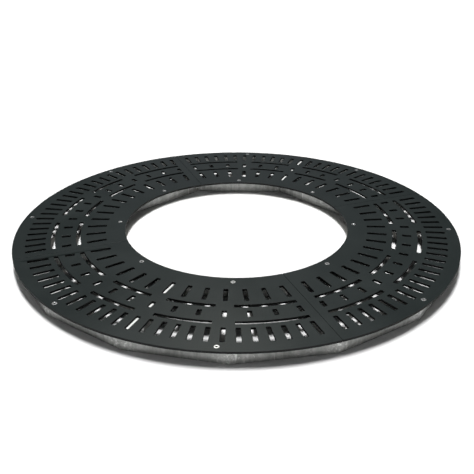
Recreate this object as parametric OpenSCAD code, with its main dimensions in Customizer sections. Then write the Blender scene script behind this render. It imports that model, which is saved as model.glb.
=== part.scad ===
// Round tree grate: four slotted steel plates screwed to a galvanised frame.
// The frame stands on the ground and comes in two bolted halves, so that it
// closes round a tree that is already there. Each half is welded from straight
// bars: a many-sided rim under the outer edge, an eight-sided ring round the
// opening, and radial bars between them. The plate seams lie on the X and Y
// axes and the frame splits along the diagonal between them. Z = 0 is the
// ground, and Z goes through the middle of the opening.

/* [Grate] */
// Outer diameter of the four plates together
grate_d = 1500; // [1470:10:1800]
// Diameter of the tree opening
opening_d = 768; // [700:4:800]
// Thickness of a plate
plate_t = 7; // [5:1:10]
// Gap between two neighbouring plates
seam_gap = 1; // [0.5:0.5:5]

/* [Slots] */
// Width of every slot
slot_w = 14; // [8:1:16]
// Corner radius of the radial slots
slot_corner_r = 3; // [1:0.5:3.5]
// Distance from a seam to the middle line of the slots that lie along it
slot_inset = 35; // [30:1:45]
// Solid border between the outer edge and the outer slots
outer_border = 40; // [36:1:50]
// Length of the outer slots
outer_slot_l = 65; // [40:1:70]
// Web between the outer slots and the outer arc slots
outer_web = 16; // [10:1:24]
// Web between the outer arc slots and the short slots
short_web_out = 20.5; // [12:0.5:26]
// Length of the short slots
short_slot_l = 30; // [20:1:36]
// Web between the short slots and the inner arc slots
short_web_in = 17.5; // [12:0.5:24]
// Web between the inner arc slots and the inner slots
inner_web = 19; // [12:0.5:26]
// Length of the inner slots
inner_slot_l = 65; // [40:1:68]

/* [Frame] */
// Height of the frame bars
bar_h = 40; // [30:1:60]
// Width of the frame bars
bar_w = 15; // [12:1:20]
// Plate edge to the rim's outer face, at the middle of a rim bar
rim_inset = 22.5; // [16:0.5:24]
// Opening edge to the ring's inner face, at the middle of a ring bar
ring_inset = 15.5; // [12:0.5:22]
// Gap between the two frame halves where they are bolted
split_gap = 1; // [0.5:0.5:3]

/* [Plate screws] */
// Thread diameter of the plate screws
screw_d = 8; // [6:1:8]
// Length of the plate screws, head included
screw_l = 22; // [18:1:28]
// Diameter of the countersunk heads
screw_head_d = 16; // [14:0.5:17]
// Width across flats of the hexagon sockets
socket_af = 5; // [4:0.5:6]
// Depth of the hexagon sockets
socket_depth = 3.5; // [2:0.5:4]
// How far the heads lie below the plate's face
head_recess = 0.2; // [0:0.1:0.5]
// Clearance round a screw in its plate, on the radius
plate_hole_clear = 0.5; // [0.3:0.1:1]
// Clearance round a screw in its tapped hole, on the radius
tapped_clear = 0.3; // [0.3:0.1:0.5]
// Depth of a tapped hole past the end of its screw
tapped_spare = 4; // [2:1:8]
// Angle from a seam to the nearest outer screw
rim_screw_a = 25; // [24.5:0.5:40]
// Angle from a seam to the nearest inner screw
ring_screw_a = 22.5; // [15:0.5:30]

/* [Frame bolts] */
// Thread diameter of the bolts that join the frame halves
bolt_d = 10; // [8:1:12]
// Width across flats of the bolt heads and nuts
bolt_af = 16; // [14:1:19]
// Height of a bolt head
bolt_head_h = 6.4; // [5:0.1:8]
// Height of a nut
nut_h = 8.4; // [6:0.1:10]
// Diameter of a washer
washer_d = 20; // [18:1:26]
// Thickness of a washer
washer_t = 2; // [1:0.5:3]
// How far a bolt reaches past its nut
bolt_tail = 1.6; // [1:0.1:6]
// Clearance round a bolt in the bars, on the radius
bolt_hole_clear = 0.5; // [0.3:0.1:1]
// Ring's outer corner to the inner bolt of a joint
inner_bolt_inset = 52; // [30:1:90]
// Rim's inner corner to the outer bolt of a joint
outer_bolt_inset = 58; // [30:1:90]

/* [Hidden] */

$fn = 96;
cut = 1;                       // how far a cutting shape reaches past a face
quarters = 4;                  // plates, and seams between them
quarter_a = 360 / quarters;
rim_sides = 16;
ring_sides = 8;
outer_slots = 25;              // slots of a quarter in the outer row
short_slots = 13;              // and in the short row and the inner row
arc_spans = [[0, 5], [7, 11], [13, 17], [19, 24]];  // outer slots each arc slot spans

grate_r = grate_d / 2;
opening_r = opening_d / 2;
rim_half_a = 180 / rim_sides;
ring_half_a = 180 / ring_sides;

// Faces of the rim and the ring, as distances from the middle at mid bar
rim_out = grate_r - rim_inset;
rim_in = rim_out - bar_w;
ring_in = opening_r + ring_inset;
ring_out = ring_in + bar_w;

// Radii that bound the rows of slots, from the outer edge inwards. The opening is
// cut into that pattern, so the border round it takes up a change of its size
outer_r1 = grate_r - outer_border;
outer_r0 = outer_r1 - outer_slot_l;
outer_arc_r1 = outer_r0 - outer_web;
outer_arc_r0 = outer_arc_r1 - slot_w;
short_r1 = outer_arc_r0 - short_web_out;
short_r0 = short_r1 - short_slot_l;
inner_arc_r1 = short_r0 - short_web_in;
inner_arc_r0 = inner_arc_r1 - slot_w;
inner_r1 = inner_arc_r0 - inner_web;
inner_r0 = inner_r1 - inner_slot_l;

// The plate screws stand on the middle line of the bars
plate_top = bar_h + plate_t;
head_top = plate_top - head_recess;
cone_h = (screw_head_d - screw_d) / 2;
rim_screw_r = (rim_out - bar_w / 2)
    / cos((2 * floor(rim_screw_a / (2 * rim_half_a)) + 1) * rim_half_a - rim_screw_a);
ring_screw_r = (ring_in + bar_w / 2) / cos(ring_half_a - ring_screw_a);
screw_places = [
    [rim_screw_r, rim_screw_a],
    [rim_screw_r, quarter_a - rim_screw_a],
    [ring_screw_r, ring_screw_a],
    [ring_screw_r, quarter_a - ring_screw_a]
];

// The joint bars stand on both sides of the split, and a bolt crosses both. The
// bolts are turned so that all their heads lie on the same half of the frame
split_angles = [45, 225];
bolt_turns = [-90, 90];
joint_y0 = split_gap / 2;
joint_y1 = joint_y0 + bar_w;
bolt_places = [
    ring_out / cos(ring_half_a) + inner_bolt_inset,
    rim_in / cos(rim_half_a) - outer_bolt_inset
];
bolt_reach = joint_y1 + washer_t + nut_h + bolt_tail;

galvanised = [0.60, 0.62, 0.63];
zinc = [0.78, 0.79, 0.80];
black_coat = [0.20, 0.215, 0.21];

// True where a frame corner at this angle lies on the split
function on_split(a) = len([for (s = split_angles) if (abs(s - a) < 0.01) s]) > 0;

// A point turned by the angle a about the middle
function turned(a, p) = [p[0] * cos(a) - p[1] * sin(a), p[0] * sin(a) + p[1] * cos(a)];

// How far out a bar's face is, where it passes a corner's radius at the distance
// off: mid bar the face lies at the distance face, and half_a is half the bar's angle
function face_x(face, half_a, off) = (face - off * sin(half_a)) / cos(half_a);

// That point in the plan, for a corner at angle a and a bar that lies on one side of it
function face_point(face, half_a, a, side, off) =
    turned(a, [face_x(face, half_a, off), side * off]);

// Slots fan out from a point that lies slot_inset inside both seams. The line at
// angle b passes the middle at fan_offset and meets the radius r after fan_run
function fan_offset(b) = slot_inset * (cos(b) - sin(b));
function fan_run(r, b) =
    sqrt(r * r - fan_offset(b) * fan_offset(b)) - slot_inset * (cos(b) + sin(b));
function fan_point(b, run, aside) = [slot_inset, slot_inset] + turned(b, [run, aside]);
function outer_slot_a(i) = quarter_a * i / (outer_slots - 1);
function short_slot_a(i) = quarter_a * i / (short_slots - 1);

// One straight slot along the fan line at angle b, from radius r0 to radius r1
module radial_slot(b, r0, r1) {
    run0 = fan_run(r0, b);
    run1 = fan_run(r1, b);
    in = slot_corner_r;
    translate([slot_inset, slot_inset])
        rotate(b) {
            translate([run0 + in, -slot_w / 2])
                square([run1 - run0 - 2 * in, slot_w]);
            translate([run0, -slot_w / 2 + in])
                square([run1 - run0, slot_w - 2 * in]);
            for (x = [run0 + in, run1 - in], y = [-slot_w / 2 + in, slot_w / 2 - in])
                translate([x, y])
                    circle(r = in, $fn = 24);
        }
}

// One curved slot that spans the outer slots numbered span[0] to span[1]
module arc_slot(r0, r1, span) {
    a0 = outer_slot_a(span[0]);
    a1 = outer_slot_a(span[1]);
    intersection() {
        difference() {
            circle(r = r1, $fn = 360);
            circle(r = r0, $fn = 360);
        }
        polygon([
            fan_point(a0, 0, -slot_w / 2),
            fan_point(a0, r1, -slot_w / 2),
            fan_point(a1, r1, slot_w / 2),
            fan_point(a1, 0, slot_w / 2)
        ]);
    }
}

// Outline of one quarter plate, seams along +X and +Y
module plate_outline() {
    difference() {
        intersection() {
            circle(r = grate_r, $fn = 360);
            translate([seam_gap / 2, seam_gap / 2])
                square(grate_r + cut);
        }
        circle(r = opening_r, $fn = 360);
        for (i = [0 : outer_slots - 1])
            radial_slot(outer_slot_a(i), outer_r0, outer_r1);
        for (i = [0 : short_slots - 1]) {
            radial_slot(short_slot_a(i), short_r0, short_r1);
            radial_slot(short_slot_a(i), inner_r0, inner_r1);
        }
        for (span = arc_spans) {
            arc_slot(outer_arc_r0, outer_arc_r1, span);
            arc_slot(inner_arc_r0, inner_arc_r1, span);
        }
    }
}

module at_screws() {
    for (p = screw_places)
        rotate(p[1])
            translate([p[0], 0, 0])
                children();
}

// Slotted quarter plate with countersunk holes
module plate(quarter) {
    hole_r = screw_d / 2 + plate_hole_clear;
    sink_r = screw_head_d / 2 + head_recess;
    color(black_coat)
        rotate(quarter * quarter_a)
            difference() {
                translate([0, 0, bar_h])
                    linear_extrude(plate_t)
                        plate_outline();
                at_screws() {
                    translate([0, 0, bar_h - cut])
                        cylinder(r = hole_r, h = plate_t + 2 * cut);
                    translate([0, 0, plate_top - (sink_r - hole_r)])
                        cylinder(r1 = hole_r, r2 = sink_r, h = sink_r - hole_r);
                    translate([0, 0, plate_top])
                        cylinder(r = sink_r, h = cut);
                }
            }
}

// Countersunk screw with a hexagon socket
module plate_screw() {
    difference() {
        union() {
            translate([0, 0, head_top - screw_l])
                cylinder(d = screw_d, h = screw_l - cone_h);
            translate([0, 0, head_top - cone_h])
                cylinder(d1 = screw_d, d2 = screw_head_d, h = cone_h);
        }
        translate([0, 0, head_top - socket_depth])
            cylinder(d = socket_af / cos(30), h = socket_depth + cut, $fn = 6);
    }
}

// The four screws that hold one plate
module plate_screws(quarter) {
    color(zinc)
        rotate(quarter * quarter_a)
            at_screws()
                plate_screw();
}

// Blind holes for the plate screws, cut into whatever bar they reach
module tapped_holes() {
    depth = screw_l + tapped_spare;
    for (quarter = [0 : quarters - 1])
        rotate(quarter * quarter_a)
            at_screws()
                translate([0, 0, head_top - depth])
                    cylinder(r = screw_d / 2 + tapped_clear, h = depth);
}

// Straight bar between two corners of a many-sided frame, mitred at both ends.
// An end that lies on the split stays back by half the gap
module side_bar(sides, index, face_out, face_in) {
    half_a = 180 / sides;
    a0 = index * 2 * half_a;
    a1 = a0 + 2 * half_a;
    off0 = on_split(a0) ? joint_y0 : 0;
    off1 = on_split(a1) ? joint_y0 : 0;
    color(galvanised)
        difference() {
            linear_extrude(bar_h)
                polygon([
                    face_point(face_in, half_a, a0, 1, off0),
                    face_point(face_out, half_a, a0, 1, off0),
                    face_point(face_out, half_a, a1, -1, off1),
                    face_point(face_in, half_a, a1, -1, off1)
                ]);
            tapped_holes();
        }
}

module rim_bar(number) {
    side_bar(rim_sides, number - 1, rim_out, rim_in);
}

module ring_bar(number) {
    side_bar(ring_sides, number - 1, ring_out, ring_in);
}

// Radial bar under a seam, welded into the corners of the ring and the rim
module seam_bar(number) {
    half_w = bar_w / 2;
    color(galvanised)
        rotate((number - 1) * quarter_a)
            linear_extrude(bar_h)
                polygon([
                    [face_x(ring_out, ring_half_a, half_w), -half_w],
                    [face_x(rim_in, rim_half_a, half_w), -half_w],
                    [face_x(rim_in, rim_half_a, 0), 0],
                    [face_x(rim_in, rim_half_a, half_w), half_w],
                    [face_x(ring_out, ring_half_a, half_w), half_w],
                    [face_x(ring_out, ring_half_a, 0), 0]
                ]);
}

// Places the children at each bolt of a joint, with Z across the split
module at_bolts(joint) {
    rotate(split_angles[joint - 1])
        for (x = bolt_places)
            translate([x, 0, bar_h / 2])
                rotate([bolt_turns[joint - 1], 0, 0])
                    children();
}

// Radial bar on one side of the split
module joint_bar(joint, side) {
    a = split_angles[joint - 1];
    color(galvanised)
        difference() {
            linear_extrude(bar_h)
                polygon([
                    face_point(ring_out, ring_half_a, a, side, joint_y0),
                    face_point(rim_in, rim_half_a, a, side, joint_y0),
                    face_point(rim_in, rim_half_a, a, side, joint_y1),
                    face_point(ring_out, ring_half_a, a, side, joint_y1)
                ]);
            at_bolts(joint)
                cylinder(r = bolt_d / 2 + bolt_hole_clear, h = 2 * (joint_y1 + cut), center = true);
        }
}

// Hexagon bolts across the split, heads on one side
module joint_bolts(joint) {
    color(zinc)
        at_bolts(joint) {
            translate([0, 0, -joint_y1 - washer_t])
                cylinder(d = bolt_d, h = joint_y1 + washer_t + bolt_reach);
            translate([0, 0, -joint_y1 - washer_t - bolt_head_h])
                cylinder(d = bolt_af / cos(30), h = bolt_head_h, $fn = 6);
        }
}

// Washers under the bolt heads and the nuts
module joint_washers(joint) {
    color(zinc)
        at_bolts(joint)
            for (z = [-joint_y1 - washer_t, joint_y1])
                translate([0, 0, z])
                    difference() {
                        cylinder(d = washer_d, h = washer_t);
                        translate([0, 0, -cut])
                            cylinder(r = bolt_d / 2 + bolt_hole_clear, h = washer_t + 2 * cut);
                    }
}

// Nuts on the bolts
module joint_nuts(joint) {
    color(zinc)
        at_bolts(joint)
            translate([0, 0, joint_y1 + washer_t])
                difference() {
                    cylinder(d = bolt_af / cos(30), h = nut_h, $fn = 6);
                    translate([0, 0, -cut])
                        cylinder(d = bolt_d, h = nut_h + 2 * cut);
                }
}

plate(0);  // plate_1
plate(1);  // plate_2
plate(2);  // plate_3
plate(3);  // plate_4
plate_screws(0);  // plate_screws_1
plate_screws(1);  // plate_screws_2
plate_screws(2);  // plate_screws_3
plate_screws(3);  // plate_screws_4
rim_bar(1);  // rim_bar_01
rim_bar(2);  // rim_bar_02
rim_bar(3);  // rim_bar_03
rim_bar(4);  // rim_bar_04
rim_bar(5);  // rim_bar_05
rim_bar(6);  // rim_bar_06
rim_bar(7);  // rim_bar_07
rim_bar(8);  // rim_bar_08
rim_bar(9);  // rim_bar_09
rim_bar(10);  // rim_bar_10
rim_bar(11);  // rim_bar_11
rim_bar(12);  // rim_bar_12
rim_bar(13);  // rim_bar_13
rim_bar(14);  // rim_bar_14
rim_bar(15);  // rim_bar_15
rim_bar(16);  // rim_bar_16
ring_bar(1);  // ring_bar_1
ring_bar(2);  // ring_bar_2
ring_bar(3);  // ring_bar_3
ring_bar(4);  // ring_bar_4
ring_bar(5);  // ring_bar_5
ring_bar(6);  // ring_bar_6
ring_bar(7);  // ring_bar_7
ring_bar(8);  // ring_bar_8
seam_bar(1);  // seam_bar_1
seam_bar(2);  // seam_bar_2
seam_bar(3);  // seam_bar_3
seam_bar(4);  // seam_bar_4
joint_bar(1, -1);  // joint_bar_1a
joint_bar(1, 1);  // joint_bar_1b
joint_bar(2, -1);  // joint_bar_2a
joint_bar(2, 1);  // joint_bar_2b
joint_bolts(1);  // joint_bolts_1
joint_bolts(2);  // joint_bolts_2
joint_washers(1);  // joint_washers_1
joint_washers(2);  // joint_washers_2
joint_nuts(1);  // joint_nuts_1
joint_nuts(2);  // joint_nuts_2
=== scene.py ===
import math
import random

import bpy
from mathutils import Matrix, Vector
from mathutils.geometry import tessellate_polygon


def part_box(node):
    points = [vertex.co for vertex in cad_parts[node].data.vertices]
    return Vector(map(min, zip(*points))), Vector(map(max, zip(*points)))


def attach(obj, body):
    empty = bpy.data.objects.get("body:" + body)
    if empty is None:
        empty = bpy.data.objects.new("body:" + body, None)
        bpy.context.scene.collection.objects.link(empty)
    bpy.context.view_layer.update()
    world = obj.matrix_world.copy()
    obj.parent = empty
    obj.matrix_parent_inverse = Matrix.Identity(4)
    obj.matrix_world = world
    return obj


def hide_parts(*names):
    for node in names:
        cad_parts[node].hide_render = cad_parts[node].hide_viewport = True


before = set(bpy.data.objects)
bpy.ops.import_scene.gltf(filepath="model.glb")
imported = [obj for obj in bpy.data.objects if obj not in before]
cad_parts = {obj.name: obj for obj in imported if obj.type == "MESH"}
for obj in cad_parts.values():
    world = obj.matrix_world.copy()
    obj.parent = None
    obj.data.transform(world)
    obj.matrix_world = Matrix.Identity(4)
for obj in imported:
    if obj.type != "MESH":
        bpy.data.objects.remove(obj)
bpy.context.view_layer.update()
random.seed(7)

# All lengths are in metres, and angles are in degrees until they meet math
MM = 0.001

# The plates, from the frame
PLATE_LOW, PLATE_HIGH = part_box("plate_1")
GRATE_R = PLATE_HIGH.x
SEAM = PLATE_LOW.x
PLATE_TOP = PLATE_HIGH.z
BAR_TOP = PLATE_LOW.z
QUARTERS = 4
QUARTER_A = 360 / QUARTERS
OPENING_R = 384 * MM
PLATE_CORNER_R = 1.5 * MM
PLATE_EDGE_R = 0.25 * MM
ARC_STEP = 1.5

# Slots, as in the part's source
SLOT_W = 14 * MM
SLOT_CORNER_R = 3 * MM
ARC_CORNER_R = 2 * MM
SLOT_INSET = 35 * MM
OUTER_ROW = (645 * MM, 710 * MM)
OUTER_ARC_ROW = (615 * MM, 629 * MM)
SHORT_ROW = (564.5 * MM, 594.5 * MM)
INNER_ARC_ROW = (533 * MM, 547 * MM)
INNER_ROW = (449 * MM, 514 * MM)
OUTER_SLOTS = 25
SHORT_SLOTS = 13
ARC_SPANS = ((0, 5), (7, 11), (13, 17), (19, 24))

# Frame bars, as in the part's source
BAR_W = 15 * MM
RIM_SIDES = 16
RIM_OUT = 727.5 * MM
RIM_IN = RIM_OUT - BAR_W
RING_SIDES = 8
RING_IN = 399.5 * MM
RING_OUT = RING_IN + BAR_W
SPLIT_ANGLES = (45, 225)
SPLIT_HALF = 0.5 * MM
BAR_EDGE_R = 1.0 * MM
BAR_CORNER_R = 0.4 * MM

# Plate screws. Their heights and depths are from their own top, which lies the recess below
# the plates' top. The profiles are (radius, depth) in millimetres, of the point, of the head
# up to the mouth of its socket, and of the socket's floor. The thread is (low, high)
SCREW_PITCH = 1.25 * MM
SCREW_THREAD_R = 3.95 * MM
SCREW_MINOR_R = 3.35 * MM
SCREW_THREAD = (-21.2 * MM, -6 * MM)
SCREW_POINT = ((2.7, 22), (3.3, 21.4))
SCREW_HEAD = (
    (3.95, 4.6), (4.15, 4), (7.4, 0.75), (7.5, 0.6), (7.45, 0.46), (7.25, 0.38), (7, 0.36),
    (3.5, 0.36), (3.2, 0.38), (3, 0.48),
)
SOCKET_FLOOR = ((2.35, 3.55), (0.3, 4.6))
SOCKET_R = 2.5 * MM
SOCKET_MOUTH = 0.75 * MM
SOCKET_DEPTH = 3.5 * MM
SCREW_RECESS = 0.2 * MM
SCREW_HEAD_R = 8 * MM
SCREW_HOLE_R = 4.5 * MM
SCREW_HOLE_EDGE = 0.15 * MM
TAPPED_R = 4.3 * MM
TAPPED_DEPTH = 26 * MM
TAPPED_EDGE = 0.4 * MM
TAPPED_POINTS = 32
RIM_SCREW_A = 25
RING_SCREW_A = 22.5
RIM_SCREW_BAR_A = 1.5 * 360 / RIM_SIDES
RIM_SCREW_R = (RIM_OUT - BAR_W / 2) / math.cos(math.radians(RIM_SCREW_BAR_A - RIM_SCREW_A))
RING_SCREW_R = RING_IN + BAR_W / 2
SCREW_PLACES = (
    (RIM_SCREW_R, RIM_SCREW_A),
    (RIM_SCREW_R, QUARTER_A - RIM_SCREW_A),
    (RING_SCREW_R, RING_SCREW_A),
    (RING_SCREW_R, QUARTER_A - RING_SCREW_A),
)

# Bolts across the split. Heights run along the bolt from the middle of the split. The sides
# put the heads of both joints on the same half of the frame
BOLT_PITCH = 1.5 * MM
BOLT_SHANK_R = 4.97 * MM
BOLT_MINOR_R = 4.15 * MM
BOLT_POINT_R = 4.1 * MM
BOLT_POINT = 0.9 * MM
BOLT_TAIL = 1.6 * MM
BOLT_THREAD_START = -2 * MM
BOLT_SHANK_END = -3 * MM
BOLT_NECK_R = 5.5 * MM
BOLT_NECK = 0.5 * MM
BOLT_COLLAR = 0.4 * MM
BOLT_HEAD_H = 6.4 * MM
HEX_R = 8 * MM
HEX_FACE_R = 7.4 * MM
NUT_H = 8.4 * MM
NUT_BORE_R = 5.02 * MM
NUT_MOUTH_R = 5.6 * MM
NUT_MOUTH = 0.5 * MM
WASHER_R = 10 * MM
WASHER_T = 2 * MM
WASHER_HOLE_R = 5.5 * MM
WASHER_EDGE = 0.25 * MM
HEX_A = 60
CHAMFER_SLOPE = math.tan(math.radians(30))
THREAD_ROWS = 4
THREAD_FADE_ROWS = 6
BOLT_SIDES = (1, -1)
JOINT_Y = SPLIT_HALF + BAR_W
INNER_BOLT_INSET = 52 * MM
OUTER_BOLT_INSET = 58 * MM
BOLT_PLACES = (
    RING_OUT / math.cos(math.radians(180 / RING_SIDES)) + INNER_BOLT_INSET,
    RIM_IN / math.cos(math.radians(180 / RIM_SIDES)) - OUTER_BOLT_INSET,
)

# Camera, solved from the two ellipses of the top in the photo, with the focal length in pixels
PHOTO_SIZE = 474
CAMERA_PLAN_A = -111.07
CAMERA_RISE = 25.116
CAMERA_DIP = 1.235
CAMERA_YAW = -0.05
CAMERA_FAR = 2.2946
CAMERA_FOCAL = 657.08
CAMERA_SENSOR = 36

# Weld beads. The first two are (half width, height)
CORNER_BEAD = (4.5 * MM, 1.1 * MM)
FILLET_BEAD = (5 * MM, 3.2 * MM)
BEAD_INSET = 1.5 * MM
BEAD_POINTS = 9
BEAD_STEP = 0.5 * MM
BEAD_RIPPLE = 1.7 * MM
BEAD_RIPPLE_SHARE = 0.15
BEAD_UNEVEN = (0.93, 1.07)
BEAD_END = 1.5 * MM
BEAD_END_LEAST = 0.01
BEAD_SUNK = 0.3 * MM
BEAD_SWAY = 0.3 * MM

# Edges sharper than these stay sharp on turned pieces and on weld beads
TURNED_SHARP_A = 32
BEAD_SHARP_A = 50

# Materials. A scale is in features per metre. A range is the part of a texture's values, of
# a height or of a distance over which something fades in or out, and its share is how much
# of it shows at most. A bump is (strength, depth), and a roughness is the least and the most

# Powder coat
COAT_DARK = (0.0068, 0.0106, 0.0104, 1)
COAT_LIGHT = (0.01, 0.0155, 0.0152, 1)
COAT_DUST = (0.046, 0.056, 0.056, 1)
# Painted shade, for faces that don't look up: the cut edges, slot walls and underside
COAT_SIDE_SHADE = (0.004, 0.005, 0.005, 1)
COAT_SPECULAR = 0.35
COAT_ROUGHNESS = (0.34, 0.42)
COAT_CUT_ROUGHNESS = (0.72, 0.82)
COAT_CLOUD_SCALE = 5
COAT_CLOUD_RANGE = (0.3, 0.7)
COAT_DUST_SCALE = 140
COAT_DUST_RANGE = (0.62, 0.80)
COAT_DUST_SHARE = 0.35
COAT_GRAIN_SCALE = 900
COAT_GRAIN_BUMP = (0.25, 0.3 * MM)
COAT_SIDE_SHADE_RANGE = (0.3, 0.8)

# Hot-dip zinc
ZINC_DARK = (0.44, 0.45, 0.435, 1)
ZINC_LIGHT = (0.59, 0.60, 0.585, 1)
ZINC_RUN = (0.34, 0.35, 0.335, 1)
ZINC_PALE = (0.71, 0.72, 0.705, 1)
ZINC_SPECK = (0.86, 0.87, 0.85, 1)
# Painted highlight on the faces that look up
ZINC_TOP_LIGHT = (0.88, 0.89, 0.88, 1)
# Painted shade at the foot of the bars
ZINC_FOOT_SHADE = (0.24, 0.24, 0.225, 1)
ZINC_METALLIC = 0.15
ZINC_ROUGHNESS = (0.42, 0.60)
CRYSTAL_SCALE = 95
CRYSTAL_BUMP = (0.2, 0.4 * MM)
CRYSTAL_BEND = 0.008
CRYSTAL_BEND_SCALE = 60
RUN_FLATTENED = 0.12
RUN_SCALE = 75
RUN_RANGE = (0.42, 0.62)
RUN_SHARE = 0.85
DRIP_SCALE = 95
DRIP_RANGE = (0.69, 0.73)
DRIP_SHARE = 0.75
BLOTCH_SCALE = 26
BLOTCH_RANGE = (0.55, 0.72)
BLOTCH_SHARE = 0.6
SPECK_SCALE = 115
SPECK_RANGE = (0.66, 0.72)
SPECK_SHARE = 0.8
SPECK_BUMP = (0.4, 0.5 * MM)
WELD_SPECK_RANGE = (0.50, 0.62)
WELD_SPECK_SHARE = 0.9
WELD_RANGE = (12 * MM, 50 * MM)
FINE_SCALE = 420
FINE_BUMP = (0.35, 0.35 * MM)
# Painted shade at the foot: heights over which it fades, and its strength
FOOT_SHADE_RANGE = (4 * MM, 28 * MM)
FOOT_SHADE_SHARE = 0.4
# Painted highlight on faces that look up: normal heights over which it fades in, and its strength
TOP_LIGHT_RANGE = (0.6, 0.95)
TOP_LIGHT_SHARE = 0.85

# Zinc plating of the fasteners
PLATING_DARK = (0.58, 0.59, 0.59, 1)
PLATING_LIGHT = (0.79, 0.80, 0.80, 1)
# Painted shade inside the screws' sockets
PLATING_SOCKET_SHADE = (0.06, 0.06, 0.055, 1)
PLATING_ROUGHNESS = (0.26, 0.40)
PATCH_SCALE = 220
PATCH_RANGE = (0.3, 0.7)
TURNING_SCALE = 1500
TURNING_BUMP = (0.15, 0.1 * MM)

# Floor
FLOOR_HALF = 60
FLOOR_DARK = (0.83, 0.83, 0.83, 1)
FLOOR_LIGHT = (0.85, 0.85, 0.85, 1)
FLOOR_ROUGHNESS = 0.9
FLOOR_SPECULAR = 0.1
FLOOR_MARK_SCALE = 3

# Light
SUN_FAR = 4
KEY_TILTS = (5, 12.5, 20)
KEY_ASIDE = 0.1
KEY_SIZE = 9
KEY_ENERGY = 4.2
SHINE_PLACE = (-0.1, 0.5, 1.3)
SHINE_ENERGY = 3.1
SHINE_SIZE = 0.8
SHINE_COLOR = (1, 0.99, 0.9)
FILL_RISE = 3.5
FILL_SIZE = 5
FILL_ENERGY = 1.8
GLOW_RISE = 13
GLOW_SIZE = 26
GLOW_ENERGY = 0.026
GLOW_COLOR = (0.9, 0.88, 1)
SKY = 0.037
SKY_COLOR = (0.97, 0.99, 1, 1)


def turned(angle, x, y):
    """The plan point (x, y) turned about the middle."""
    a = math.radians(angle)
    return (x * math.cos(a) - y * math.sin(a), x * math.sin(a) + y * math.cos(a))


# Outlines are closed lists of (x, y, normal x, normal y), with the material on the left of
# the way they run, so that a normal points out of the material

def rounded(nodes, radius, steps=4):
    """The outline through nodes (x, y, is_corner), with every corner rounded."""
    made = []
    count = len(nodes)
    for i, (x, y, is_corner) in enumerate(nodes):
        here = Vector((x, y))
        before = (here - Vector(nodes[i - 1][:2])).normalized()
        after = (Vector(nodes[(i + 1) % count][:2]) - here).normalized()
        if not is_corner:
            along = (before + after).normalized()
            made.append((x, y, along.y, -along.x))
            continue
        turn = math.atan2(before.cross(after), before.dot(after))
        side = 1 if turn > 0 else -1
        inward = Vector((-before.y, before.x)) * side
        centre = here - before * radius * math.tan(abs(turn) / 2) + inward * radius
        for k in range(steps + 1):
            a = turn * k / steps
            out = -inward
            out = Vector((out.x * math.cos(a) - out.y * math.sin(a),
                          out.x * math.sin(a) + out.y * math.cos(a)))
            p = centre + out * radius
            made.append((p.x, p.y, out.x * side, out.y * side))
    return made


def turned_outline(outline, angle):
    """The outline turned about the middle."""
    return [turned(angle, x, y) + turned(angle, nx, ny) for x, y, nx, ny in outline]


def circle(x, y, radius, count=48):
    """The outline of a round hole."""
    made = []
    for i in range(count):
        a = -2 * math.pi * i / count
        made.append((x + radius * math.cos(a), y + radius * math.sin(a), -math.cos(a), -math.sin(a)))
    return made


def fan_run(r, b, aside):
    """How far out along the fan line at angle b, and beside it, the radius r lies."""
    c, s = math.cos(math.radians(b)), math.sin(math.radians(b))
    off = SLOT_INSET * (c - s) + aside
    return math.sqrt(r * r - off * off) - SLOT_INSET * (c + s)


def fan_point(b, run, aside):
    """The point run along the fan line at angle b, and aside of it."""
    x, y = turned(b, run, aside)
    return (SLOT_INSET + x, SLOT_INSET + y)


def radial_slot(b, row):
    """Outline of a straight slot along the fan line at angle b."""
    half = SLOT_W / 2
    run0, run1 = (fan_run(r, b, 0) for r in row)
    corners = ((run0, half), (run1, half), (run1, -half), (run0, -half))
    return rounded([fan_point(b, run, aside) + (True,) for run, aside in corners], SLOT_CORNER_R)


def band(r0, r1, inner0, outer0, outer1, inner1):
    """Nodes of a band between two radii, whose four corners are given, run anticlockwise."""
    def arc(r, start, end):
        a0, a1 = math.atan2(start[1], start[0]), math.atan2(end[1], end[0])
        steps = max(2, round(abs(math.degrees(a1 - a0)) / ARC_STEP))
        angles = [a0 + (a1 - a0) * i / steps for i in range(1, steps)]
        return [(r * math.cos(a), r * math.sin(a), False) for a in angles]

    return ([inner0 + (True,), outer0 + (True,)] + arc(r1, outer0, outer1)
            + [outer1 + (True,), inner1 + (True,)] + arc(r0, inner1, inner0))


def arc_slot(row, span):
    """Outline of a curved slot that spans two of the outer slots."""
    half = SLOT_W / 2
    b0, b1 = (QUARTER_A * i / (OUTER_SLOTS - 1) for i in span)
    r0, r1 = row
    corners = [fan_point(b, fan_run(r, b, aside), aside)
               for r, b, aside in ((r0, b0, -half), (r1, b0, -half), (r1, b1, half), (r0, b1, half))]
    return rounded(band(r0, r1, *corners)[::-1], ARC_CORNER_R)


def plate_edge():
    """Outline of a quarter plate, seams along +X and +Y."""
    ends = [math.sqrt(r * r - SEAM * SEAM) for r in (OPENING_R, GRATE_R)]
    return rounded(
        band(OPENING_R, GRATE_R, (ends[0], SEAM), (ends[1], SEAM), (SEAM, ends[1]), (SEAM, ends[0])),
        PLATE_CORNER_R)


def plate_slots():
    """Outlines of all slots of a quarter plate."""
    made = [radial_slot(QUARTER_A * i / (OUTER_SLOTS - 1), OUTER_ROW) for i in range(OUTER_SLOTS)]
    for i in range(SHORT_SLOTS):
        b = QUARTER_A * i / (SHORT_SLOTS - 1)
        made += [radial_slot(b, SHORT_ROW), radial_slot(b, INNER_ROW)]
    for span in ARC_SPANS:
        made += [arc_slot(OUTER_ARC_ROW, span), arc_slot(INNER_ARC_ROW, span)]
    return made


# Profiles are lists of (inset into the material, height, tilt of the normal), from the
# bottom face to the top one, with the normal at -90 on the bottom and 90 on the top

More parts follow.
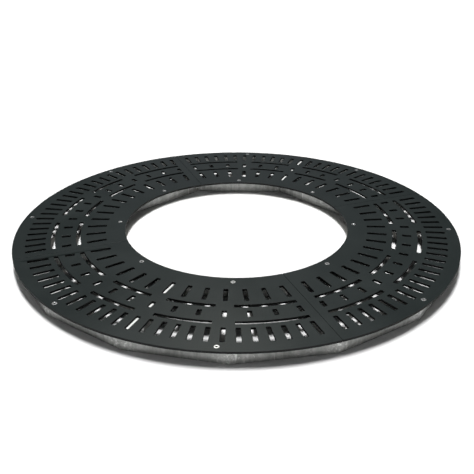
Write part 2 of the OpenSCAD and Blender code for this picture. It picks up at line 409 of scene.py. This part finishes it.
def edge_profile(z0, z1, radius, steps=2):
    """Rounded edges at the bottom and the top."""
    low = [(radius * (1 - math.cos(math.radians(t))), z0 + radius * (1 + math.sin(math.radians(t))), t)
           for t in (-90 + 90 * k / steps for k in range(steps + 1))]
    high = [(inset, z0 + z1 - z, -tilt) for inset, z, tilt in reversed(low)]
    return low + high


def sink_profile(z0, z1, hole_r, sink_r, edge):
    """A countersunk hole: a straight wall, a cone at 45 degrees and a broken edge. The
    outline is that of the straight hole."""
    cone = sink_r - hole_r
    return [
        (edge, z0, -90), (0, z0 + edge, 0),
        (0, z1 - cone - edge, 0), (edge, z1 - cone + edge, 45),
        (cone - edge, z1 - edge, 45), (cone + edge / 2, z1, 90),
    ]


def blind_profile(z0, z1, edge):
    """A blind hole with a flat floor at z0 and a broken edge at the top."""
    return [(0, z0, 0), (0, z1 - edge, 0), (edge, z1, 90)]


def new_mesh(name, points, faces, sharp_a=None):
    """A smooth mesh. Edges sharper than sharp_a stay sharp."""
    made = bpy.data.meshes.new(name)
    made.from_pydata(points, [], faces)
    made.validate()
    made.polygons.foreach_set("use_smooth", [True] * len(made.polygons))
    if sharp_a:
        made.set_sharp_from_angle(angle=math.radians(sharp_a))
    return made


class Shell:
    """A closed mesh in the making, with a normal for each corner point."""

    def __init__(self):
        self.points, self.normals, self.faces = [], [], []

    def ring(self, outline, inset, z, tilt):
        """Adds the points of the outline, one step of a profile, and returns their numbers."""
        c, s = math.cos(math.radians(tilt)), math.sin(math.radians(tilt))
        start = len(self.points)
        for x, y, nx, ny in outline:
            self.points.append((x - nx * inset, y - ny * inset, z))
            self.normals.append((nx * c, ny * c, s))
        return list(range(start, len(self.points)))

    def wall(self, outline, profile):
        """Rings along the profile, joined. Returns the lowest and the highest ring."""
        rings = [self.ring(outline, *step) for step in profile]
        for low, high in zip(rings, rings[1:]):
            for i in range(len(low)):
                j = (i + 1) % len(low)
                self.faces.append((low[i], low[j], high[j], high[i]))
        return rings[0], rings[-1]

    def fill(self, rings, upward):
        """Closes the face that the rings bound, with the holes left open."""
        order = [i for ring in rings for i in ring]
        for a, b, c in tessellate_polygon([[Vector(self.points[i]) for i in ring] for ring in rings]):
            tri = [order[a], order[b], order[c]]
            p, q, r = (Vector(self.points[i]) for i in tri)
            if ((q - p).cross(r - p).z > 0) != upward:
                tri.reverse()
            self.faces.append(tuple(tri))

    def mesh(self, name):
        made = new_mesh(name, self.points, self.faces)
        made.normals_split_custom_set_from_vertices(self.normals)
        return made


def slab(name, edge, holes, z0, z1, radius, blind=()):
    """A flat piece with rounded edges. Its holes are (outline, profile), blind ones as well."""
    shell = Shell()
    low, high = shell.wall(edge, edge_profile(z0, z1, radius))
    lows, highs = [low], [high]
    for outline, profile in holes:
        low, high = shell.wall(outline, profile)
        lows.append(low)
        highs.append(high)
    for outline, profile in blind:
        low, high = shell.wall(outline, profile)
        shell.faces.append(tuple(reversed(low)))
        highs.append(high)
    shell.fill(lows, False)
    shell.fill(highs, True)
    return shell.mesh(name)


# Turned and hexagonal pieces are stacks of rows (kind, radius, height, extra) round a Z axis.
# A hex row has its flats at the radius. A chamfer row is a hex row on a cone, which passes
# through the radius extra at the height and rises or falls outwards. A thread row swings
# between the radius and the radius extra

def row_point(row, angle, pitch):
    """The point of the row at the angle."""
    kind, radius, z, extra = row
    if kind == "thread":
        wave = abs((z / pitch - angle / 360) % 1 * 2 - 1)
        radius += (extra - radius) * wave
    elif kind != "round":
        radius /= math.cos(math.radians(angle % HEX_A - HEX_A / 2))
        if kind == "chamfer_up":
            z += (radius - extra) * CHAMFER_SLOPE
        elif kind == "chamfer_down":
            z -= (radius - extra) * CHAMFER_SLOPE
    return turned(angle, radius, 0) + (z,)


def stack(rows, places, name, pitch=1, is_loop=False, count=36):
    """A mesh with a copy of the stack at each place, a function that moves a point there."""
    points, faces = [], []
    for place in places:
        start = len(points)
        for row in rows:
            points += [place(row_point(row, 360 * i / count, pitch)) for i in range(count)]
        starts = [start + count * k for k in range(len(rows))]
        pairs = list(zip(starts, starts[1:]))
        if is_loop:
            pairs.append((starts[-1], starts[0]))
        else:
            faces.append([starts[0] + i for i in reversed(range(count))])
            faces.append([starts[-1] + i for i in range(count)])
        for low, high in pairs:
            for i in range(count):
                j = (i + 1) % count
                faces.append((low + i, low + j, high + j, high + i))
    return new_mesh(name, points, faces, TURNED_SHARP_A)


def round_rows(profile):
    """Round rows through the half profile, a list of (radius, height)."""
    return [("round", radius, z, 0) for radius, z in profile]


def thread_rows(radius, minor, z0, z1, pitch):
    """Rows of a thread that fades out at its upper end."""
    steps = round((z1 - z0) / pitch * THREAD_ROWS)
    made = []
    for k in range(steps + 1):
        fade = min(1, (steps - k) / THREAD_FADE_ROWS)
        made.append(("thread", radius, z0 + (z1 - z0) * k / steps, radius + (minor - radius) * fade))
    return made


def beads(lines, size, name):
    """Rippled weld beads that stand on the vertical lines (x, y, angle it faces, z0, z1)."""
    half, height = size
    count = BEAD_POINTS
    points, faces = [], []
    for x, y, angle, z0, z1 in lines:
        start = len(points)
        steps = round((z1 - z0) / BEAD_STEP)
        sway = random.uniform(-BEAD_SWAY, BEAD_SWAY)
        for k in range(steps + 1):
            z = z0 + (z1 - z0) * k / steps
            end = min(1, min(z - z0, z1 - z) / BEAD_END)
            swell = math.sqrt(max(BEAD_END_LEAST, end * (2 - end))) * random.uniform(*BEAD_UNEVEN)
            ripple = abs(math.sin(math.pi * z / BEAD_RIPPLE))
            swell *= 1 - BEAD_RIPPLE_SHARE + BEAD_RIPPLE_SHARE * ripple
            for i in range(count):
                a = math.pi * i / (count - 1)
                lift = math.sin(a) * height * swell - BEAD_SUNK
                aside = math.cos(a) * half * swell + sway * math.sin(4 * math.pi * k / steps)
                dx, dy = turned(angle, lift, -aside)
                points.append((x + dx, y + dy, z))
        for k in range(steps):
            low = start + k * count
            high = low + count
            for i in range(count):
                j = (i + 1) % count
                faces.append((low + i, low + j, high + j, high + i))
        faces.append([start + i for i in reversed(range(count))])
        faces.append([start + steps * count + i for i in range(count)])
    return new_mesh(name, points, faces, BEAD_SHARP_A)


def piece(name, mesh, material, body, node=None):
    """An object of the model that rides on a body and may stand for a CAD node."""
    made = bpy.data.objects.new(name, mesh)
    bpy.context.scene.collection.objects.link(made)
    made.data.materials.append(material)
    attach(made, body)
    if node:
        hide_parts(node)
    return made


# Materials

def new_material(name):
    """A material, with its nodes, its links and its shader."""
    made = bpy.data.materials.new(name)
    made.use_nodes = True
    nodes = made.node_tree.nodes
    return made, nodes, made.node_tree.links, nodes["Principled BSDF"]


def texture(nodes, links, kind, scale, source=None, **settings):
    """A texture node in the object's own coordinates, or in those of source."""
    made = nodes.new(kind)
    made.inputs["Scale"].default_value = scale
    for key, value in settings.items():
        if key in made.inputs:
            made.inputs[key].default_value = value
        else:
            setattr(made, key, value)
    if source is None:
        source = nodes.new("ShaderNodeTexCoord").outputs["Object"]
    links.new(source, made.inputs["Vector"])
    return made


def remap(nodes, links, value, span, low, high):
    """The value fitted so that span, its (from, to), becomes low to high."""
    made = nodes.new("ShaderNodeMapRange")
    ends = {"From Min": span[0], "From Max": span[1], "To Min": low, "To Max": high}
    for key, number in ends.items():
        made.inputs[key].default_value = number
    links.new(value, made.inputs["Value"])
    return made.outputs["Result"]


def mix_numbers(nodes, links, factor, a, b):
    """From a, where the factor is zero, to b. All three are sockets."""
    made = nodes.new("ShaderNodeMix")
    for key, value in (("Factor", factor), ("A", a), ("B", b)):
        links.new(value, [s for s in made.inputs if s.name == key and s.enabled][0])
    return [s for s in made.outputs if s.enabled][0]


def mix_colors(nodes, links, factor, a, b):
    """From a, where the factor is zero, to b. Both are sockets or colours."""
    made = nodes.new("ShaderNodeMix")
    made.data_type = "RGBA"
    for key, value in (("Factor", factor), ("A", a), ("B", b)):
        socket = [s for s in made.inputs if s.name == key and s.enabled][0]
        if isinstance(value, bpy.types.NodeSocket):
            links.new(value, socket)
        else:
            socket.default_value = value
    return [s for s in made.outputs if s.enabled][0]


def bump(nodes, links, height, size, normal=None):
    """The normal with a bump of the size (strength, depth) added."""
    made = nodes.new("ShaderNodeBump")
    made.inputs["Strength"].default_value, made.inputs["Distance"].default_value = size
    links.new(height, made.inputs["Height"])
    if normal is not None:
        links.new(normal, made.inputs["Normal"])
    return made.outputs["Normal"]


def looking_up(nodes, links):
    """The height of the face's true normal, one on faces that look straight up."""
    face = nodes.new("ShaderNodeSeparateXYZ")
    links.new(nodes.new("ShaderNodeNewGeometry").outputs["True Normal"], face.inputs["Vector"])
    return face.outputs["Z"]


def coat_material():
    """Black-grey powder coat: fine grain, slight clouds, a few paler dust specks. Faces that don't look
    up, the cut edges among them, carry painted shade, a darker colour, and are rougher than the rolled
    faces."""
    made, nodes, links, shader = new_material("powder_coat")
    clouds = texture(nodes, links, "ShaderNodeTexNoise", COAT_CLOUD_SCALE, Detail=6, Roughness=0.6)
    clouds = clouds.outputs["Fac"]
    grain = texture(nodes, links, "ShaderNodeTexNoise", COAT_GRAIN_SCALE, Detail=2).outputs["Fac"]
    dust = texture(nodes, links, "ShaderNodeTexNoise", COAT_DUST_SCALE, Detail=4, Roughness=0.7)
    base = mix_colors(nodes, links, clouds, COAT_DARK, COAT_LIGHT)
    dust = remap(nodes, links, dust.outputs["Fac"], COAT_DUST_RANGE, 0, COAT_DUST_SHARE)
    base = mix_colors(nodes, links, dust, base, COAT_DUST)
    # Painted shade: faces that don't look up get the darker colour
    side_shade = remap(nodes, links, looking_up(nodes, links), COAT_SIDE_SHADE_RANGE, 1, 0)
    base = mix_colors(nodes, links, side_shade, base, COAT_SIDE_SHADE)
    links.new(base, shader.inputs["Base Color"])
    rough = remap(nodes, links, clouds, COAT_CLOUD_RANGE, *COAT_ROUGHNESS)
    rough_cut = remap(nodes, links, grain, (0, 1), *COAT_CUT_ROUGHNESS)
    links.new(mix_numbers(nodes, links, side_shade, rough, rough_cut), shader.inputs["Roughness"])
    shader.inputs["Specular IOR Level"].default_value = COAT_SPECULAR
    links.new(bump(nodes, links, grain, COAT_GRAIN_BUMP), shader.inputs["Normal"])
    return made


def corner_mask(nodes, links, coords, step, radius):
    """One at the welded corners of a frame whose corners lie step degrees apart, and zero
    away from them."""
    place = nodes.new("ShaderNodeSeparateXYZ")
    links.new(coords, place.inputs["Vector"])

    def number(operation, first, *others):
        made = nodes.new("ShaderNodeMath")
        made.operation = operation
        links.new(first, made.inputs[0])
        for socket, value in zip(made.inputs[1:], others):
            if isinstance(value, bpy.types.NodeSocket):
                links.new(value, socket)
            else:
                socket.default_value = value
        return made.outputs["Value"]

    half = math.radians(step) / 2
    angle = number("ARCTAN2", place.outputs["Y"], place.outputs["X"])
    away = number("ABSOLUTE", number("WRAP", angle, half, -half))
    return remap(nodes, links, away, [reach / radius for reach in WELD_RANGE], 1, 0)


def galvanised_material(name, step=None, radius=1):
    """Hot-dip zinc: crystals of differing grey, dull runs and pale drips down the faces, pale
    specks. With a step, the welded corners are rougher and speckled."""
    made, nodes, links, shader = new_material(name)
    coords = nodes.new("ShaderNodeTexCoord").outputs["Object"]
    warp = texture(nodes, links, "ShaderNodeTexNoise", CRYSTAL_BEND_SCALE, coords, Detail=3)
    bent = nodes.new("ShaderNodeVectorMath")
    bent.operation = "MULTIPLY_ADD"
    links.new(warp.outputs["Color"], bent.inputs[0])
    bent.inputs[1].default_value = (CRYSTAL_BEND, CRYSTAL_BEND, CRYSTAL_BEND)
    links.new(coords, bent.inputs[2])
    crystals = texture(nodes, links, "ShaderNodeTexVoronoi", CRYSTAL_SCALE, bent.outputs["Vector"])
    mapping = nodes.new("ShaderNodeMapping")
    mapping.inputs["Scale"].default_value = (1, 1, RUN_FLATTENED)
    links.new(coords, mapping.inputs["Vector"])
    tall = mapping.outputs["Vector"]

    def noise(scale, source, **settings):
        return texture(nodes, links, "ShaderNodeTexNoise", scale, source, **settings).outputs["Fac"]

    runs = noise(RUN_SCALE, tall, Detail=5, Roughness=0.65)
    drips = noise(DRIP_SCALE, tall, Detail=1)
    blotches = noise(BLOTCH_SCALE, coords, Detail=6, Roughness=0.7)
    specks = noise(SPECK_SCALE, coords, Detail=3, Roughness=0.6)
    fine = noise(FINE_SCALE, coords, Detail=3)

    grey = nodes.new("ShaderNodeSeparateColor")
    links.new(crystals.outputs["Color"], grey.inputs["Color"])
    base = mix_colors(nodes, links, grey.outputs["Red"], ZINC_DARK, ZINC_LIGHT)
    runs = remap(nodes, links, runs, RUN_RANGE, 0, RUN_SHARE)
    base = mix_colors(nodes, links, runs, base, ZINC_RUN)
    blotches = remap(nodes, links, blotches, BLOTCH_RANGE, 0, BLOTCH_SHARE)
    base = mix_colors(nodes, links, blotches, base, ZINC_PALE)
    spots = remap(nodes, links, specks, SPECK_RANGE, 0, SPECK_SHARE)
    if step:
        weld = corner_mask(nodes, links, coords, step, radius)
        near = remap(nodes, links, specks, WELD_SPECK_RANGE, 0, WELD_SPECK_SHARE)
        spots = mix_numbers(nodes, links, weld, spots, near)
    base = mix_colors(nodes, links, spots, base, ZINC_SPECK)
    drips = remap(nodes, links, drips, DRIP_RANGE, 0, DRIP_SHARE)
    base = mix_colors(nodes, links, drips, base, ZINC_SPECK)
    # Painted shade darkens the foot, and a painted highlight makes the faces that look up paler
    place = nodes.new("ShaderNodeSeparateXYZ")
    links.new(coords, place.inputs["Vector"])
    foot = remap(nodes, links, place.outputs["Z"], FOOT_SHADE_RANGE, FOOT_SHADE_SHARE, 0)
    base = mix_colors(nodes, links, foot, base, ZINC_FOOT_SHADE)
    # Painted highlight: faces that look up are made paler
    top = remap(nodes, links, looking_up(nodes, links), TOP_LIGHT_RANGE, 0, TOP_LIGHT_SHARE)
    base = mix_colors(nodes, links, top, base, ZINC_TOP_LIGHT)
    links.new(base, shader.inputs["Base Color"])
    shader.inputs["Metallic"].default_value = ZINC_METALLIC
    rough = remap(nodes, links, grey.outputs["Green"], (0, 1), *ZINC_ROUGHNESS)
    links.new(rough, shader.inputs["Roughness"])
    normal = bump(nodes, links, crystals.outputs["Distance"], CRYSTAL_BUMP)
    normal = bump(nodes, links, fine, FINE_BUMP, normal)
    normal = bump(nodes, links, spots, SPECK_BUMP, normal)
    normal = bump(nodes, links, drips, SPECK_BUMP, normal)
    links.new(normal, shader.inputs["Normal"])
    return made


def zinc_material():
    """Zinc-plated fasteners: bright, with fine turning marks, duller patches, and painted shade in the
    sockets, where the mesh is marked for it."""
    made, nodes, links, shader = new_material("zinc_plate")
    patches = texture(nodes, links, "ShaderNodeTexNoise", PATCH_SCALE, Detail=4).outputs["Fac"]
    turning = texture(nodes, links, "ShaderNodeTexNoise", TURNING_SCALE, Detail=2).outputs["Fac"]
    base = mix_colors(nodes, links, patches, PLATING_DARK, PLATING_LIGHT)
    # Painted shade in the sockets, where the mesh marks it
    socket_shade = nodes.new("ShaderNodeAttribute")
    socket_shade.attribute_name = "socket_shade"
    base = mix_colors(nodes, links, socket_shade.outputs["Fac"], base, PLATING_SOCKET_SHADE)
    links.new(base, shader.inputs["Base Color"])
    shader.inputs["Metallic"].default_value = 1
    rough = remap(nodes, links, patches, PATCH_RANGE, *PLATING_ROUGHNESS)
    links.new(rough, shader.inputs["Roughness"])
    links.new(bump(nodes, links, turning, TURNING_BUMP), shader.inputs["Normal"])
    return made


def floor_material():
    """Plain pale floor, with marks hardly to be seen."""
    made, nodes, links, shader = new_material("floor_white")
    marks = texture(nodes, links, "ShaderNodeTexNoise", FLOOR_MARK_SCALE, Detail=3)
    base = mix_colors(nodes, links, marks.outputs["Fac"], FLOOR_DARK, FLOOR_LIGHT)
    links.new(base, shader.inputs["Base Color"])
    shader.inputs["Roughness"].default_value = FLOOR_ROUGHNESS
    shader.inputs["Specular IOR Level"].default_value = FLOOR_SPECULAR
    return made


coat = coat_material()
rim_zinc = galvanised_material("galvanised_rim", 360 / RIM_SIDES, RIM_OUT)
ring_zinc = galvanised_material("galvanised_ring", 360 / RING_SIDES, RING_IN)
bar_zinc = galvanised_material("galvanised_bar")
zinc = zinc_material()


# The four plates

def make_plates():
    """The slotted quarter plates, with countersunk holes for their screws."""
    slot_profile = edge_profile(BAR_TOP, PLATE_TOP, PLATE_EDGE_R)
    sink_r = SCREW_HEAD_R + SCREW_RECESS
    screw_profile = sink_profile(BAR_TOP, PLATE_TOP, SCREW_HOLE_R, sink_r, SCREW_HOLE_EDGE)
    for quarter in range(QUARTERS):
        angle = quarter * QUARTER_A
        holes = [(turned_outline(slot, angle), slot_profile) for slot in plate_slots()]
        for r, a in SCREW_PLACES:
            hole = circle(*turned(a, r, 0), SCREW_HOLE_R)
            holes.append((turned_outline(hole, angle), screw_profile))
        mesh = slab(f"plate_{quarter + 1}_steel", turned_outline(plate_edge(), angle), holes,
                    BAR_TOP, PLATE_TOP, PLATE_EDGE_R)
        node = f"plate_{quarter + 1}"
        piece(f"{node}_steel", mesh, coat, node, node)


# Frame bars

def face_x(face, half_a, off):
    """How far out a polygon's side lies, at off beside the line to its corner. The side is
    face from the middle, and half_a is the angle from its middle to the corner."""
    a = math.radians(half_a)
    return (face - off * math.sin(a)) / math.cos(a)


def screw_holes(inside):
    """Blind holes of the plate screws whose middle lies on the bar that inside() tells."""
    made = []
    depth_z = PLATE_TOP - SCREW_RECESS - TAPPED_DEPTH
    for quarter in range(QUARTERS):
        for r, a in SCREW_PLACES:
            x, y = turned(a + quarter * QUARTER_A, r, 0)
            if inside(x, y):
                hole = circle(x, y, TAPPED_R, TAPPED_POINTS)
                made.append((hole, blind_profile(depth_z, BAR_TOP, TAPPED_EDGE)))
    return made


def bar_piece(node, material, corners, holes=()):
    """A bar with these corners in the plan, and its blind holes."""
    edge = rounded([corner + (True,) for corner in corners], BAR_CORNER_R, steps=3)
    mesh = slab(f"{node}_steel", edge, [], 0, BAR_TOP, BAR_EDGE_R, holes)
    piece(f"{node}_steel", mesh, material, "frame", node)


def make_polygon_bars(sides, face_in, face_out, material, names):
    """The mitred bars of the rim or the ring."""
    half_a = 180 / sides
    for i, node in enumerate(names):
        a0, a1 = 2 * half_a * i, 2 * half_a * (i + 1)
        off0, off1 = (SPLIT_HALF if a in SPLIT_ANGLES else 0 for a in (a0, a1))
        corners = [
            turned(a0, face_x(face_in, half_a, off0), off0),
            turned(a0, face_x(face_out, half_a, off0), off0),
            turned(a1, face_x(face_out, half_a, off1), -off1),
            turned(a1, face_x(face_in, half_a, off1), -off1),
        ]
        mid = a0 + half_a
        reach = face_out * math.tan(math.radians(half_a))

        def inside(x, y, mid=mid, reach=reach):
            along, aside = turned(-mid, x, y)
            return face_in < along < face_out and abs(aside) < reach

        bar_piece(node, material, corners, screw_holes(inside))


def radial_ends(off):
    """Where lines off beside a radial bar's line meet the ring and the rim."""
    return face_x(RING_OUT, 180 / RING_SIDES, off), face_x(RIM_IN, 180 / RIM_SIDES, off)


def make_radial_bars():
    """One bar under each seam, and one on each side of the split."""
    half = BAR_W / 2
    middle_start, middle_end = radial_ends(0)
    start, end = radial_ends(half)
    for i in range(QUARTERS):
        corners = [
            (start, -half), (end, -half), (middle_end, 0),
            (end, half), (start, half), (middle_start, 0),
        ]
        bar_piece(f"seam_bar_{i + 1}", bar_zinc, [turned(i * QUARTER_A, *c) for c in corners])
    near, far = radial_ends(SPLIT_HALF), radial_ends(JOINT_Y)
    for joint, split in enumerate(SPLIT_ANGLES):
        for side, letter in ((-1, "a"), (1, "b")):
            corners = [
                (near[0], side * SPLIT_HALF), (near[1], side * SPLIT_HALF),
                (far[1], side * JOINT_Y), (far[0], side * JOINT_Y),
            ]
            if side < 0:
                corners.reverse()
            bar_piece(f"joint_bar_{joint + 1}{letter}", bar_zinc, [turned(split, *c) for c in corners])


rim_names = [f"rim_bar_{i + 1:02d}" for i in range(RIM_SIDES)]
ring_names = [f"ring_bar_{i + 1}" for i in range(RING_SIDES)]

make_plates()
make_polygon_bars(RIM_SIDES, RIM_IN, RIM_OUT, rim_zinc, rim_names)
make_polygon_bars(RING_SIDES, RING_IN, RING_OUT, ring_zinc, ring_names)
make_radial_bars()


# Fasteners

def in_metres(profile):
    """A profile given as (radius, depth) in millimetres, as (radius, height)."""
    return [(radius * MM, -depth * MM) for radius, depth in profile]


def make_screws():
    """The countersunk screws, with threads, rounded heads and chamfered sockets."""
    rows = round_rows(in_metres(SCREW_POINT))
    rows += thread_rows(SCREW_THREAD_R, SCREW_MINOR_R, *SCREW_THREAD, SCREW_PITCH)
    rows += round_rows(in_metres(SCREW_HEAD))
    socket = [("hex", SOCKET_R, -SOCKET_MOUTH, 0), ("hex", SOCKET_R, -SOCKET_DEPTH, 0)]
    socket += round_rows(in_metres(SOCKET_FLOOR))
    rows += socket
    for quarter in range(QUARTERS):
        places = []
        for r, a in SCREW_PLACES:
            x, y = turned(a + quarter * QUARTER_A, r, 0)
            turn = random.uniform(0, HEX_A)

            def place(p, x=x, y=y, turn=turn):
                px, py = turned(turn, p[0], p[1])
                return (x + px, y + py, PLATE_TOP - SCREW_RECESS + p[2])

            places.append(place)
        node = f"plate_screws_{quarter + 1}"
        mesh = stack(rows, places, f"{node}_zinc", SCREW_PITCH)
        # Every point from the mouth of the socket inwards gets painted shade
        count = len(mesh.vertices) // len(places)
        clean = count * (len(rows) - len(socket)) // len(rows)
        socket_shade = mesh.attributes.new("socket_shade", "FLOAT", "POINT")
        socket_shade.data.foreach_set("value", [float(i % count >= clean) for i in range(len(mesh.vertices))])
        piece(f"{node}_zinc", mesh, zinc, f"plate_{quarter + 1}", node)


def bolt_rows(seat):
    """A hexagon bolt that reaches through a nut, with its head and the nut both seat away
    from the split."""
    low, reach = -seat - BOLT_HEAD_H, seat + NUT_H + BOLT_TAIL
    bolt = [
        ("round", HEX_FACE_R, low, 0),
        ("chamfer_up", HEX_R, low, HEX_FACE_R),
        ("hex", HEX_R, -seat - BOLT_COLLAR, 0),
    ]
    bolt += round_rows((
        (HEX_FACE_R, -seat - BOLT_COLLAR), (HEX_FACE_R, -seat),
        (BOLT_NECK_R, -seat), (BOLT_SHANK_R, BOLT_NECK - seat), (BOLT_SHANK_R, BOLT_SHANK_END),
    ))
    # A thread fades out upwards, so this one is made upside down
    thread = thread_rows(BOLT_SHANK_R, BOLT_MINOR_R, BOLT_POINT - reach, -BOLT_THREAD_START, BOLT_PITCH)
    bolt += [(kind, r, -z, extra) for kind, r, z, extra in reversed(thread)]
    return bolt + round_rows([(BOLT_POINT_R, reach)])


def nut_rows(seat):
    """A chamfered nut that stands on the height seat."""
    top = seat + NUT_H
    return [
        ("round", HEX_FACE_R, seat, 0),
        ("chamfer_up", HEX_R, seat, HEX_FACE_R),
        ("chamfer_down", HEX_R, top, HEX_FACE_R),
    ] + round_rows((
        (HEX_FACE_R, top), (NUT_MOUTH_R, top), (NUT_BORE_R, top - NUT_MOUTH),
        (NUT_BORE_R, seat + NUT_MOUTH), (NUT_MOUTH_R, seat),
    ))


def washer_rows(low):
    """A washer with broken edges that lies on the height low."""
    high = low + WASHER_T
    return round_rows((
        (WASHER_R - WASHER_EDGE, low), (WASHER_R, low + WASHER_EDGE),
        (WASHER_R, high - WASHER_EDGE), (WASHER_R - WASHER_EDGE, high),
        (WASHER_HOLE_R + WASHER_EDGE, high), (WASHER_HOLE_R, high - WASHER_EDGE),
        (WASHER_HOLE_R, low + WASHER_EDGE), (WASHER_HOLE_R + WASHER_EDGE, low),
    ))


def make_bolts():
    """Bolts, washers and nuts across the split."""
    seat = JOINT_Y + WASHER_T
    bolt, nut = bolt_rows(seat), nut_rows(seat)
    washers = (("head", washer_rows(-seat)), ("nut", washer_rows(JOINT_Y)))
    for joint, (split, side) in enumerate(zip(SPLIT_ANGLES, BOLT_SIDES)):
        places = []
        for far in BOLT_PLACES:
            turn = random.uniform(0, HEX_A)

            def place(p, far=far, turn=turn, side=side, split=split):
                px, py = turned(turn, p[0], p[1])
                return turned(split, far + px, side * p[2]) + (BAR_TOP / 2 - side * py,)

            places.append(place)
        for kind, rows, is_loop in (("bolts", bolt, False), ("nuts", nut, True)):
            node = f"joint_{kind}_{joint + 1}"
            mesh = stack(rows, places, f"{node}_zinc", BOLT_PITCH, is_loop)
            piece(f"{node}_zinc", mesh, zinc, "frame", node)
        node = f"joint_washers_{joint + 1}"
        for end, rows in washers:
            mesh = stack(rows, places, f"{node}_{end}", 1, True)
            piece(f"{node}_{end}", mesh, zinc, "frame", node)


# Welds

def weld(name, places, size, material):
    """Beads from the foot to the top of the bars at the places (x, y, angle they face)."""
    lines = [place + (BEAD_INSET, BAR_TOP - BEAD_INSET) for place in places]
    piece(name, beads(lines, size, name), material, "frame")


def weld_corners(name, sides, face, facing, material):
    """Beads on a polygon's corners, but for the two where the frame splits."""
    angles = [360 * i / sides for i in range(sides)]
    corner = face / math.cos(math.radians(180 / sides))
    places = [turned(a, corner, 0) + (a + facing,) for a in angles if a not in SPLIT_ANGLES]
    weld(name, places, CORNER_BEAD, material)


def make_welds():
    """Beads on the corners of rim and ring, and fillets at both ends of the radial bars."""
    weld_corners("weld_rim_corners", RIM_SIDES, RIM_OUT, 0, rim_zinc)
    weld_corners("weld_ring_corners", RING_SIDES, RING_IN, 180, ring_zinc)
    bars = [(QUARTER_A * i, BAR_W / 2) for i in range(QUARTERS)]
    bars += [(a, JOINT_Y) for a in SPLIT_ANGLES]
    places = []
    for a, off in bars:
        ring_x, rim_x = radial_ends(off)
        # A fillet faces out of its corner, halfway between the bar's side and the rim or ring
        for side in (-1, 1):
            places.append(turned(a, rim_x, side * off) + (a + side * 135,))
            places.append(turned(a, ring_x, side * off) + (a + side * 45,))
    weld("weld_radial_bars", places, FILLET_BEAD, bar_zinc)


make_screws()
make_bolts()
make_welds()


# Floor, light and camera

def make_floor():
    """A plain pale floor, far larger than the view."""
    mesh = bpy.data.meshes.new("floor")
    corners = ((-1, -1), (1, -1), (1, 1), (-1, 1))
    mesh.from_pydata([(x * FLOOR_HALF, y * FLOOR_HALF, 0) for x, y in corners], [], [(0, 1, 2, 3)])
    floor = bpy.data.objects.new("floor", mesh)
    bpy.context.scene.collection.objects.link(floor)
    mesh.materials.append(floor_material())
    return floor


def view_frame(aside, away, up):
    """The point so far to the right, away and up from the middle, as the camera sees it."""
    x, y = turned(CAMERA_PLAN_A + 90, aside, away)
    return Vector((x, y, up))


def low_place(rise, away):
    """The place of a low sun, behind the grate for away 1 and in front of it for -1."""
    a = math.radians(rise)
    return view_frame(0, away * math.cos(a), math.sin(a)) * SUN_FAR


def make_lamp(name, kind, place, energy):
    """A lamp at place that shines at the middle, as (object, data)."""
    data = bpy.data.lights.new(name, kind)
    data.energy = energy
    lamp = bpy.data.objects.new(name, data)
    bpy.context.scene.collection.objects.link(lamp)
    lamp.location = place
    lamp.rotation_mode = "QUATERNION"
    lamp.rotation_quaternion = place.to_track_quat("Z", "Y")
    return lamp, data


def make_light(floor):
    """The lamps and the sky. One lamp lights only the floor."""
    # A long softbox almost overhead, as three suns one behind the other
    for i, tilt in enumerate(KEY_TILTS):
        a = math.radians(tilt)
        place = view_frame(-math.sin(a) * KEY_ASIDE, math.sin(a), math.cos(a)) * SUN_FAR
        _, key = make_lamp(f"key_{i + 1}", "SUN", place, KEY_ENERGY / len(KEY_TILTS))
        key.angle = math.radians(KEY_SIZE)
    # A smaller one behind the grate, which puts the soft shine on its near side
    _, shine = make_lamp("shine", "AREA", view_frame(*SHINE_PLACE), SHINE_ENERGY)
    shine.color = SHINE_COLOR
    shine.shape = "DISK"
    shine.size = SHINE_SIZE
    # A weak low one in front, which lifts the shadow of the near edge on the floor
    lamp, fill = make_lamp("fill", "SUN", low_place(FILL_RISE, -1), FILL_ENERGY)
    fill.angle = math.radians(FILL_SIZE)
    lit = bpy.data.collections.new("lit_by_fill")
    lit.objects.link(floor)
    lamp.light_linking.receiver_collection = lit
    # A faint low one behind, which the far side of the plates reflects
    _, glow = make_lamp("glow", "SUN", low_place(GLOW_RISE, 1), GLOW_ENERGY)
    glow.color = GLOW_COLOR
    glow.angle = math.radians(GLOW_SIZE)

    world = bpy.data.worlds.new("studio")
    bpy.context.scene.world = world
    world.use_nodes = True
    nodes, links = world.node_tree.nodes, world.node_tree.links
    sky = nodes["Background"]
    sky.inputs["Color"].default_value = SKY_COLOR
    # Seen directly, the backdrop is as white as the floor
    seen = nodes.new("ShaderNodeLightPath").outputs["Is Camera Ray"]
    links.new(remap(nodes, links, seen, (0, 1), SKY, 1), sky.inputs["Strength"])


def make_camera():
    """The photo's camera, aimed a little below the middle of the top."""
    data = bpy.data.cameras.new("camera")
    data.sensor_width = CAMERA_SENSOR
    data.lens = CAMERA_FOCAL / PHOTO_SIZE * CAMERA_SENSOR
    camera = bpy.data.objects.new("camera", data)
    bpy.context.scene.collection.objects.link(camera)
    rise, plan = math.radians(CAMERA_RISE), math.radians(CAMERA_PLAN_A)
    camera.location = Vector((0, 0, PLATE_TOP)) + CAMERA_FAR * Vector(
        (math.cos(rise) * math.cos(plan), math.cos(rise) * math.sin(plan), math.sin(rise)))
    camera.rotation_euler = (
        math.radians(90 - CAMERA_RISE - CAMERA_DIP), 0, math.radians(CAMERA_PLAN_A + 90 + CAMERA_YAW))
    bpy.context.scene.camera = camera


make_light(make_floor())
make_camera()
bpy.context.scene.view_settings.view_transform = "Standard"
